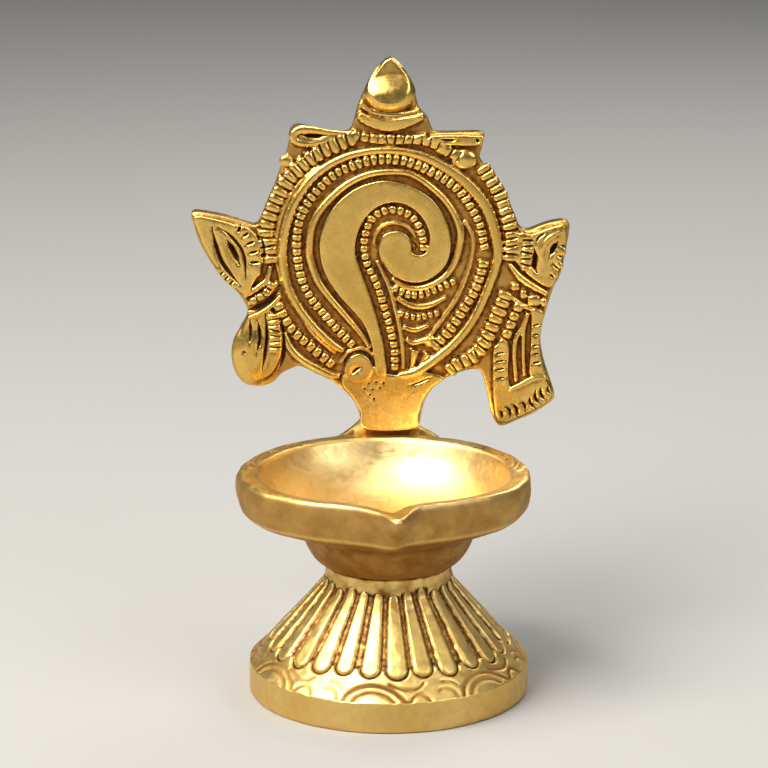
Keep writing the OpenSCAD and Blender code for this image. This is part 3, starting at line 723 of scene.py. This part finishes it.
# Beads and cord: a path, the beads' pitch, their size across, along and over the ground
BEADS = [
    ([(-7.4, 121.9), (-4, 121.3), (0, 121.1), (5, 121), (9, 120.4), (12.4, 119.2)], 2.1, 1.9, 2.1, 1.15),
    ([(-8.6, 121.3), (-13, 119.4), (-17, 117.2), (-21, 114), (-23, 111.6), (-25.2, 108), (-26.9, 104.2),
      (-28.1, 100), (-27.8, 96.6), (-27.5, 93)], 2.05, 3.3, 1.9, 1.35),
    ([(13.4, 118.4), (17, 116.6)], 1.9, 2.4, 1.8, 1.1),
    ([(21.6, 114.2), (23.2, 111.7), (25.3, 108.4), (26.7, 104.5), (27.7, 101), (28.3, 97.4), (28, 93.4)],
     1.8, 2.9, 1.65, 1.3),
    ([(-25.3, 82), (-23.6, 78.6), (-21.6, 75.6), (-19, 73.2), (-16, 70.6),
      (-13.4, 68.4)], 1.95, 2.1, 1.9, 1.25),
    ([(26.9, 84.6), (25.8, 81.6), (24.9, 79.4), (23.4, 76), (21.6, 72.4), (20.4, 70.7), (18.4, 69.3),
      (16, 68.2), (14.4, 66.8)], 2.0, 3.1, 1.95, 1.3),
    ([(-8.6, 73), (-12, 76.6), (-15, 80.2), (-17.3, 83), (-19.6, 87), (-20.8, 92), (-21.2, 97),
      (-20.5, 102),
      (-19, 105.5), (-16.5, 109), (-13, 112.4), (-10, 114.2), (-5, 115.9), (0, 116.4), (5, 115.6),
      (10, 113.3), (14.2, 110.7), (17, 108), (19, 105), (21, 101), (22, 96)], 1.7, 1.95, 1.6, 1.2),
    ([(21.8, 92), (20.8, 88.4), (19.5, 85), (17.5, 81.7), (15.5, 78.3), (13.3, 75.3), (10.8, 72.5)],
     1.9, 2.1, 1.75, 1.3),
    ([(8.1, 95.8), (7.8, 98), (7, 100.8), (5, 103.3), (2, 104.6), (-1, 104.4), (-3.8, 102.6),
      (-5.3, 99.3),
      (-5.7, 95.5), (-4.9, 91.8), (-3, 87.8), (-1.7, 84), (-0.4, 79.5), (0.6, 75.3), (1.3, 71.5),
      (1.4, 67.4)],
     1.85, 1.7, 1.65, 1.15),
    ([(1.6, 86.1), (4, 84.8), (6.5, 84.5), (10, 85.4), (14.8, 87.7)], 1.5, 1.4, 1.4, 1.05),
    ([(2.9, 80.2), (6.5, 79.3), (11, 80.3)], 1.5, 1.35, 1.4, 1.05),
    ([(29.9, 81.8), (28.9, 79.3), (28.1, 77.3), (27.2, 75), (26.5, 73.2)], 2.2, 2.0, 2.1, 1.35),
    ([(-27.2, 87), (-28.6, 85), (-31.2, 83.3)], 2.0, 1.5, 1.8, 1.4),
    ([(32, 98.4), (31.7, 91)], 1.45, 2.4, 1.3, 1.5),
    ([(-39, 90.6), (-37.4, 88.6), (-35.6, 87)], 1.7, 1.2, 1.6, 1.6),
    ([(-26.6, 79.6), (-26.2, 75.4), (-26.1, 71.6)], 1.3, 2.6, 1.3, 1.35),
]

# Single blocks: place, size across and up, height over the ground
BLOCKS = [
    (-35.2, 100.6, 1.9, 1.3, 1.5), (-33.4, 99.8, 2.1, 1.4, 1.6), (-32.2, 98.1, 2.3, 1.5, 1.6),
    (-31.3, 95.9, 2.7, 1.7, 1.65), (-30.8, 93.8, 2.7, 1.6, 1.6), (-30.7, 90.7, 3.0, 3.4, 1.55),
    (29.2, 86.6, 2.1, 1.9, 1.3), (31.1, 84.9, 1.6, 2.3, 1.35), (33.6, 83.4, 3.3, 2.7, 1.35),
    (35.9, 82.9, 1.3, 2.3, 1.2),
    (-28.1, 85.0, 1.6, 1.5, 1.5), (-30.3, 83.9, 1.7, 1.1, 1.3), (-27, 86.8, 1.6, 1.7, 1.4),
    (40.2, 94.9, 1.4, 2.0, 1.2), (39.5, 91.6, 1.4, 1.6, 1.2), (38.2, 89.4, 1.5, 1.5, 1.2),
]

# Cuts: a path, half its width and its depth
CUTS = [
    ([(-40.5, 100.9), (-39.8, 97), (-38.4, 92.7), (-36.3, 89.6), (-34, 86.8)], 0.5, 1.2),
    ([(-37.1, 97.8), (-35.6, 95), (-34.2, 91.9)], 0.62, 1.7),
    ([(-34.7, 99.3), (-33.9, 101.1)], 0.32, 0.85), ([(-33.7, 98.3), (-31.9, 99.6)], 0.32, 0.85),
    ([(-33, 96.5), (-30.5, 97.5)], 0.32, 0.85), ([(-32.4, 94.5), (-29.7, 95.2)], 0.32, 0.85),
    ([(-32.2, 92.4), (-29.4, 92.5)], 0.34, 0.85),
    ([(-39.2, 100.8), (-36.6, 99), (-34, 95.8), (-33, 92.5), (-32.9, 88.8)], 0.4, 0.9),
    ([(-29.3, 99.4), (-28.6, 95), (-28.8, 91)], 0.35, 0.7),
    ([(33.5, 95.6), (33.7, 93.5), (33.5, 91.6), (34.2, 89.9)], 0.6, 1.6),
    ([(37, 93.8), (37.7, 95.5), (38.9, 97.3)], 0.58, 1.6),
    ([(36.4, 99.6), (34.4, 98.2), (33.8, 96.6)], 0.3, 0.6),
    ([(37.6, 92.4), (38.6, 91.2), (39.4, 90.6)], 0.3, 0.6),
    ([(37.2, 89.8), (38, 88.6)], 0.3, 0.6), ([(38.8, 94), (40, 93.6)], 0.28, 0.5), ([(39.4, 96.4),
                                                            (40.6, 96.2)], 0.28, 0.5),
    ([(-33.2, 80.6), (-30.4, 81.6), (-27.4, 83.4), (-25.3, 86)], 0.5, 1.4),
    ([(-32.1, 79), (-31.9, 76), (-32.2, 73)], 0.36, 0.9),
    ([(-30.3, 78.8), (-29.8, 74.7), (-30.6, 70.8)], 0.42, 1.1),
    ([(-28.5, 80.3), (-28.2, 74.3), (-29.4, 66.6)], 0.4, 1.1),
    ([(-24.9, 79.5), (-24.3, 75), (-24.4, 70), (-25.6, 66.4)], 0.4, 0.9),
    ([(-8.7, 65.8), (-7.6, 67.0), (-6.2, 67.7)], 0.38, 0.9),
    ([(4.4, 63.1), (7, 63.8), (10.4, 65.4)], 0.25, 0.45),
    ([(-20, 122.2), (-17.4, 121.8), (-14.2, 122)], 0.5, 1.3),
    ([(11.6, 121.2), (13.4, 120.9), (15.8, 121)], 0.32, 0.9),
    ([(20.2, 121), (20.3, 120.7)], 0.45, 0.8),
    ([(-33.5, 71.2), (-33.3, 71.1)], 0.4, 0.5),
    ([(-1.6, 93.4), (-0.9, 91.9), (0.3, 90.8)], 0.22, 0.4),
    ([(5.3, 97.4), (6.3, 96.2), (6.1, 94.8)], 0.22, 0.35),
    ([(25.6, 57.2), (26.3, 56.5), (26.4, 55)], 0.36, 0.8), ([(27, 58), (28.1, 57.2),
                                                            (28.3, 55.3)], 0.38, 0.9),
    ([(28.4, 58.8), (29.7, 57.6), (29.9, 55.4)], 0.38, 0.9), ([(30.6, 59.3), (31.6, 58.4),
                                                            (31.8, 57)], 0.34, 0.8),
    ([(32.8, 60.6), (32.9, 59), (34.2, 57.6)], 0.36, 0.8), ([(34.1, 62), (34.1, 60.1),
                                                            (35.4, 58.6)], 0.38, 0.9),
    ([(35.3, 62.9), (35.4, 61), (36.6, 59.5)], 0.36, 0.8), ([(36.9, 63.2), (37, 62),
                                                            (37.7, 61.2)], 0.32, 0.7),
    ([(24.4, 70.6), (27.4, 71.2)], 0.24, 0.5), ([(24.3, 68.8), (27.3, 69.2)], 0.22, 0.45),
    ([(24.3, 66.8), (27.3, 67.3)], 0.24, 0.5), ([(24.3, 64.6), (27.6, 65.2)], 0.22, 0.4),
    ([(33, 77.4), (35.2, 77.8)], 0.24, 0.5), ([(33, 75.2), (35, 75.4)], 0.24, 0.5), ([(33, 72.6),
                                                            (34.9, 72.8)], 0.26, 0.6),
    ([(33, 70.6), (35.2, 70.8)], 0.24, 0.5), ([(33, 68.4), (35.6, 68.9)], 0.26, 0.6),
]
PUNCHES = [(-4.6, 63.6), (-3.7, 62.2), (-2.9, 63.9), (-2, 62.6), (-1.2, 63.8), (-4.3, 60.9), (-5.6, 62.4),
           (-3.4, 60)]


def slab(outline, front, back, edge):
    """A flat piece cut to an outline, with its front edge broken by a chamfer."""
    path = np.array(outline, float)
    ahead, behind = np.roll(path, -1, 0), np.roll(path, 1, 0)
    along = (ahead - behind) / np.maximum(np.hypot(*(ahead - behind).T), 1e-6)[:, None]
    area = np.sum(path[:, 0] * ahead[:, 1] - ahead[:, 0] * path[:, 1])
    inward = np.stack([-along[:, 1], along[:, 0]], 1) * np.sign(area)
    small = path + inward * edge
    n = len(path)
    verts = [(x, back, z) for x, z in path] + [(x, front + edge, z) for x, z in path] \
        + [(x, front, z) for x, z in small]
    faces = [list(range(n)), list(range(3 * n - 1, 2 * n - 1, -1))]
    for i in range(n):
        j = (i + 1) % n
        faces += [[j, i, n + i, n + j], [n + j, n + i, 2 * n + i, 2 * n + j]]
    piece = carried("slab", verts, faces)
    face_outward(piece, triangles=True)
    return piece


def closed_curve(points, step):
    """A smooth curve round through all the points and back to the first."""
    path = spline([points[-1]] + list(points) + list(points[:2]), step)
    start = int(np.argmin(np.hypot(*(path - np.array(points[0])).T[:2])))
    path = path[start:]
    stop = 1 + int(np.argmin(np.hypot(*(path[1:] - np.array(points[0])).T[:2])))
    return path[:stop]


def round_bars(bars):
    """All the plain cords of the figure as one curve with a round section, tapering at its ends."""
    data = bpy.data.curves.new("bars", "CURVE")
    data.dimensions = "3D"
    data.bevel_depth = MM
    data.bevel_resolution = 3
    data.use_fill_caps = True
    for points, lift in bars:
        rows = spline(points, 0.6)
        rows[:, 2] *= 1 + 0.15 * step_up(1.2, 1.7, rows[:, 2])
        line = data.splines.new("POLY")
        line.points.add(len(rows) - 1)
        for spot, (x, z, width) in zip(line.points, rows):
            spot.co = (x * MM, (GROUND_Y - lift) * MM, z * MM, 1)
            spot.radius = width / 2
    piece = bpy.data.objects.new("bars", data)
    bpy.context.scene.collection.objects.link(piece)
    select_only(piece)
    bpy.ops.object.convert(target="MESH")
    return bpy.context.object


SLITS = []


def bead_rows(rows, blocks):
    """Beads and blocks set along the cords, one small ball copied many times, no two quite alike."""
    bpy.ops.mesh.primitive_uv_sphere_add(segments=16, ring_count=10, radius=1)
    ball = bpy.context.object
    shape = np.array([v.co[:] for v in ball.data.vertices])
    # Squarer than a ball, as a cast bead is
    shape = np.sign(shape) * np.abs(shape) ** 0.6
    faces = [list(f.vertices) for f in ball.data.polygons]
    bpy.data.objects.remove(ball)
    rng = np.random.default_rng(3)
    places = [(x, z, 1.0, 0.0, wide, tall, height) for x, z, wide, tall, height in blocks]
    for points, pitch, across, along, height in rows:
        path = spline(points, 0.1)
        run = np.concatenate([[0], np.cumsum(np.hypot(*np.diff(path, axis=0).T))])
        count = max(2, int(round(run[-1] / pitch)) + 1)
        for s in np.linspace(0, run[-1], count):
            s += rng.uniform(-0.12, 0.12)
            x, z = np.interp(s, run, path[:, 0]), np.interp(s, run, path[:, 1])
            ahead = np.interp(s + 0.3, run, path[:, 0]) - np.interp(s - 0.3, run, path[:, 0])
            rise = np.interp(s + 0.3, run, path[:, 1]) - np.interp(s - 0.3, run, path[:, 1])
            length = max(math.hypot(ahead, rise), 1e-6)
            places.append((x, z, ahead / length, rise / length, along * 1.04, across * 1.2, height))
        row = places[-count:]
        SLITS.extend(((a[0] + b[0]) / 2, (a[1] + b[1]) / 2, (a[2] + b[2]) / 2, (a[3] + b[3]) / 2,
                      across * 1.2)
                     for a, b in zip(row[:-1], row[1:]))
    verts, polygons = [], []
    for x, z, ux, uz, along, across, height in places:
        a = along / 2 * rng.uniform(0.92, 1.04)
        b = across / 2 * rng.uniform(0.93, 1.07)
        px = x + shape[:, 0] * a * ux - shape[:, 2] * b * uz
        pz = z + shape[:, 0] * a * uz + shape[:, 2] * b * ux
        py = GROUND_Y - shape[:, 1] * height * rng.uniform(0.93, 1.05)
        polygons += [[i + len(verts) for i in f] for f in faces]
        verts += list(zip(px, py, pz))
    piece = carried("beads", verts, polygons)
    face_outward(piece)
    return piece


def fill_corners(piece, turns, share):
    """Fills the inside corners a little, as cast metal does, and leaves the ridges crisp."""
    below, = depth_below(piece, [turns])
    move_points(piece, points_of(piece) + normals_of(piece) * (share * np.clip(below, 0, 0.4))[:, None])


def boss(x, y, z, size):
    bpy.ops.mesh.primitive_uv_sphere_add(segments=32, ring_count=20, radius=1, location=(x * MM, y * MM,
                                                            z * MM))
    piece = bpy.context.object
    piece.scale = [s * MM for s in size]
    bpy.ops.object.transform_apply(location=True, rotation=True, scale=True)
    return piece


def finial():
    """The pear-shaped finial, with two filed facets in front that meet in a low ridge."""
    pear = spline([(0.02, 127.0), (2.8, 127.3), (5.0, 128.8), (5.9, 131), (5.5, 133.2), (4.2, 135.6),
                   (2.5, 138),
                   (0.9, 139.4), (0.02, 139.6)], 0.4)
    pear[:, 0] = np.maximum(pear[:, 0], 0)
    piece = lathe("finial", pear.tolist()[:-1] + [(0, 139.6)], 64)
    co = points_of(piece)
    mid = (TOP_Y + BACK_Y) / 2
    co[:, 0] += 0.3
    co[:, 1] = mid + co[:, 1] * 0.62
    over = co[:, 2] - 131.9 - 0.12 * co[:, 0] + 0.03 * co[:, 0] ** 2
    facet = TOP_Y - 0.35 + 0.16 * np.hypot(over, 0.3) + 0.3 * over + 0.01 * co[:, 0] ** 2
    co[:, 1] = np.clip(co[:, 1], facet, BACK_Y)
    move_points(piece, co)
    return piece


parts = [slab(closed_curve(OUTLINE, 0.7)[:-1], GROUND_Y, BACK_Y, 0.3)]
for outline, height in FACES:
    parts.append(slab(closed_curve(outline, 0.6)[:-1], GROUND_Y - height, GROUND_Y + 1, 0.25))
parts += [
    round_bars(BARS + [([(x, z, across) for x, z in points], 0.6 * height - 0.52 * across)
                       for points, pitch, across, along, height in BEADS]),
    bead_rows(BEADS, BLOCKS), finial(),
    boss(17.3, GROUND_Y - 0.2, 116.4, (2.9, 1.2, 2.4)), boss(12.6, GROUND_Y, 118.6, (1.9, 1.1, 1.3)),
    boss(-31.6, GROUND_Y + 0.4, 70.4, (4.9, 2.0, 7.6)), boss(9.6, GROUND_Y, 73.6, (1.6, 1.1, 1.6)),
    boss(-23.4, GROUND_Y, 116, (1.6, 0.7, 1.4)), boss(30.6, GROUND_Y - 0.7, 98.2, (1.9, 0.7, 1.2)),
]
select_only(*parts)
bpy.ops.object.join()
plate = bpy.context.object
plate.name = "conch_plate_casting"
fuse = plate.modifiers.new("fuse", "REMESH")
fuse.mode = "VOXEL"
fuse.voxel_size = 0.21 * MM
bpy.ops.object.modifier_apply(modifier="fuse")
ease = plate.modifiers.new("ease", "SMOOTH")
ease.factor = 0.5
ease.iterations = 2
bpy.ops.object.modifier_apply(modifier="ease")

co = points_of(plate)
facing = normals_of(plate)[:, 1] < -0.25
for path, half_width, depth in [(spline(p, 0.4) if len(p) > 2 else p, w, d) for p, w, d in CUTS]:
    path = np.array(path)
    near = facing & (np.abs(co[:, 0] - path[:, 0].mean()) < np.ptp(path[:, 0]) / 2 + 2) \
        & (np.abs(co[:, 2] - path[:, 1].mean()) < np.ptp(path[:, 1]) / 2 + 2)
    gap, along = line_distance(path, co[near, 0], co[near, 2])
    length = np.hypot(*np.diff(path, axis=0).T).sum()
    ends = np.clip(np.minimum(along, length - along) / max(0.3 * length, 0.2),
                   0.25, 1) if length > 1 else 1
    co[near, 1] += depth * ends ** 0.5 * (1 - step_up(0.15, 1.35, gap / (half_width * ends)))
spots = np.nonzero(facing)[0]
front_x, front_z = co[spots, 0], co[spots, 2]
rng = np.random.default_rng(5)
for x, z, ux, uz, across in SLITS:
    skew, reach = rng.normal(0, 0.16), rng.uniform(0.85, 1.1)
    deep = rng.uniform(0.28, 0.65) * (0.75 if across > 3 else 1)
    ux, uz = ux - skew * uz, uz + skew * ux
    near = spots[(np.abs(front_x - x) < across) & (np.abs(front_z - z) < across)]
    dx, dz = co[near, 0] - x, co[near, 2] - z
    ahead, aside = np.abs(dx * ux + dz * uz), np.abs(dz * ux - dx * uz)
    aside /= across * reach
    co[near, 1] += deep * (1 - step_up(0.02, 0.4, ahead)) * (1 - step_up(0.38, 0.6, aside))
for x, z in PUNCHES:
    gap = np.hypot(co[:, 0] - x, co[:, 2] - z)
    co[:, 1] += np.where(facing, 0.35 * (1 - step_up(0.1, 0.45, gap)), 0)
move_points(plate, co)
fill_corners(plate, 7, 0.2)
ripple(plate, 2.6, 0.07)
ripple(plate, 0.7, 0.05)

# Filing: whatever stands above the finished face is taken off, and the faces are left almost flat
co = points_of(plate)
facing = normals_of(plate)[:, 1] < -0.25
over = np.clip((co[:, 1] - TOP_Y - 0.1) / 0.06, -30, 30)
co[:, 1] = np.where(facing & (co[:, 2] < 126), TOP_Y + 0.1 + 0.06 * np.log1p(np.exp(over)), co[:, 1])
co[:, 2] -= TONGUE_Z - SEAT_Z
move_points(plate, co)
# Painted reflection: the tongue gets paler brass where it mirrors the lit dish.
painted_dish_reflection = 0.4 * step_up(62, 57, co[:, 2]) * (np.abs(co[:, 0]) < 12)
ground = 0.55 * step_up(GROUND_Y - 0.75, GROUND_Y - 0.1, co[:, 1]) * (normals_of(plate)[:, 1] < -0.1)
ground *= step_up(62, 66, co[:, 2]) * step_up(127, 124, co[:, 2])
mark_hollows(plate, ((3, 16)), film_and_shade=ground, pale=painted_dish_reflection)
thin = plate.modifiers.new("thin", "DECIMATE")
thin.ratio = min(1.0, 190000 / (2 * len(plate.data.polygons)))
select_only(plate)
bpy.ops.object.modifier_apply(modifier="thin")
plate_brass = cast_brass("plate_brass", gold=(0.92, 0.60, 0.16), shade=(0.78, 0.50, 0.12), polish=0.28,
                         film_at=(-0.025, 0.11), deep_at=(0.012, 0.06),
                         grain=0.3, brushed=(2200, 2200, 350))
finish_piece(plate, plate_brass, "conch_plate")

# ---------------------------------------------------------------- clamp screw
# The steel pan-head screw inside the hollow foot that draws the bowl down on its neck. It is
# zinc plated, so it is a dull blue-white with faint rolling marks.

def plated(name, colour, rough, noise_scale, strength):
    """Plated or turned metal with a faint mottle and fine marks."""
    material = bpy.data.materials.new(name)
    material.use_nodes = True
    tree = material.node_tree
    metal = tree.nodes["Principled BSDF"]
    metal.inputs["Metallic"].default_value = 1.0
    where = tree.nodes.new("ShaderNodeTexCoord").outputs["Object"]
    mottle = node_in(tree, "ShaderNodeTexNoise", Scale=noise_scale, Detail=4, Roughness=0.6)
    tree.links.new(where, mottle.inputs["Vector"])
    for socket, low, high in (("Base Color", [c * 0.8 for c in colour], colour),
                              ("Roughness", (rough + 0.1,) * 3, (rough - 0.05,) * 3)):
        ramp = tree.nodes.new("ShaderNodeValToRGB")
        ramp.color_ramp.elements[0].position = 0.35
        ramp.color_ramp.elements[0].color = (*low, 1)
        ramp.color_ramp.elements[1].position = 0.65
        ramp.color_ramp.elements[1].color = (*high, 1)
        tree.links.new(mottle.outputs["Fac"], ramp.inputs["Fac"])
        tree.links.new(ramp.outputs["Color"], metal.inputs[socket])
    bump = node_in(tree, "ShaderNodeBump", Strength=strength, Distance=0.05 * MM)
    tree.links.new(mottle.outputs["Fac"], bump.inputs["Height"])
    tree.links.new(bump.outputs[0], metal.inputs["Normal"])
    return material


def recoat(node_name, material):
    """A CAD node whose shape is right keeps it and only gets its real finish."""
    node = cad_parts[node_name]
    for spot in node.material_slots:
        spot.material = material


screw_steel = plated("screw_steel", (0.60, 0.62, 0.65), 0.34, 900, 0.25)
recoat("clamp_screw", screw_steel)

# ---------------------------------------------------------------- clamp washer
# The plated steel washer under that screw's head, punched from sheet.

recoat("clamp_washer", screw_steel)

# ---------------------------------------------------------------- plate screws
# Two small turned brass pan-head screws behind the lug; they go through it into the plate.

recoat("plate_screws", plated("screw_brass", (0.80, 0.58, 0.22), 0.3, 1400, 0.2))

# ---------------------------------------------------------------- studio
# A plain pale floor and soft lights; the camera looks a little down on the lamp from the front.

bpy.ops.mesh.primitive_plane_add(size=6, location=(0, 1.5, 0))
floor = bpy.context.object
floor.name = "studio_floor"
pale = bpy.data.materials.new("studio_floor")
pale.use_nodes = True
pale.node_tree.nodes["Principled BSDF"].inputs["Base Color"].default_value = (0.36, 0.35, 0.33, 1)
pale.node_tree.nodes["Principled BSDF"].inputs["Roughness"].default_value = 0.85
floor.data.materials.append(pale)


def soft_light(name, place, size, power, colour=(1, 1, 1), aim=(0, 0, 0.07)):
    data = bpy.data.lights.new(name, "AREA")
    data.shape = "RECTANGLE"
    data.size, data.size_y = size
    data.energy = power
    data.color = colour
    lamp = bpy.data.objects.new(name, data)
    lamp.location = place
    lamp.rotation_euler = (Vector(aim) - Vector(place)).to_track_quat("-Z", "Y").to_euler()
    bpy.context.scene.collection.objects.link(lamp)


soft_light("key", (-0.5, -0.36, 0.82), (0.75, 0.75), 20.5, (1.0, 0.98, 0.94))
soft_light("top", (0.0, 0.14, 0.95), (0.45, 0.45), 4)
soft_light("fill", (0.62, -0.45, 0.55), (0.5, 0.5), 2.5, (0.95, 0.97, 1.0))
soft_light("rim", (0.35, 0.7, 0.6), (0.4, 0.3), 2)
world = bpy.data.worlds.new("studio")
world.use_nodes = True
world.node_tree.nodes["Background"].inputs[0].default_value = (0.55, 0.58, 0.62, 1)
world.node_tree.nodes["Background"].inputs[1].default_value = 0.22
bpy.context.scene.world = world

camera_data = bpy.data.cameras.new("camera")
camera_data.sensor_width = 36
camera_data.lens = 152.4
camera_data.shift_x = -0.006
camera = bpy.data.objects.new("camera", camera_data)
camera.location = (0, -0.7, 0.25455)
camera.rotation_euler = (math.radians(75.3), 0, 0)
bpy.context.scene.collection.objects.link(camera)
bpy.context.scene.camera = camera
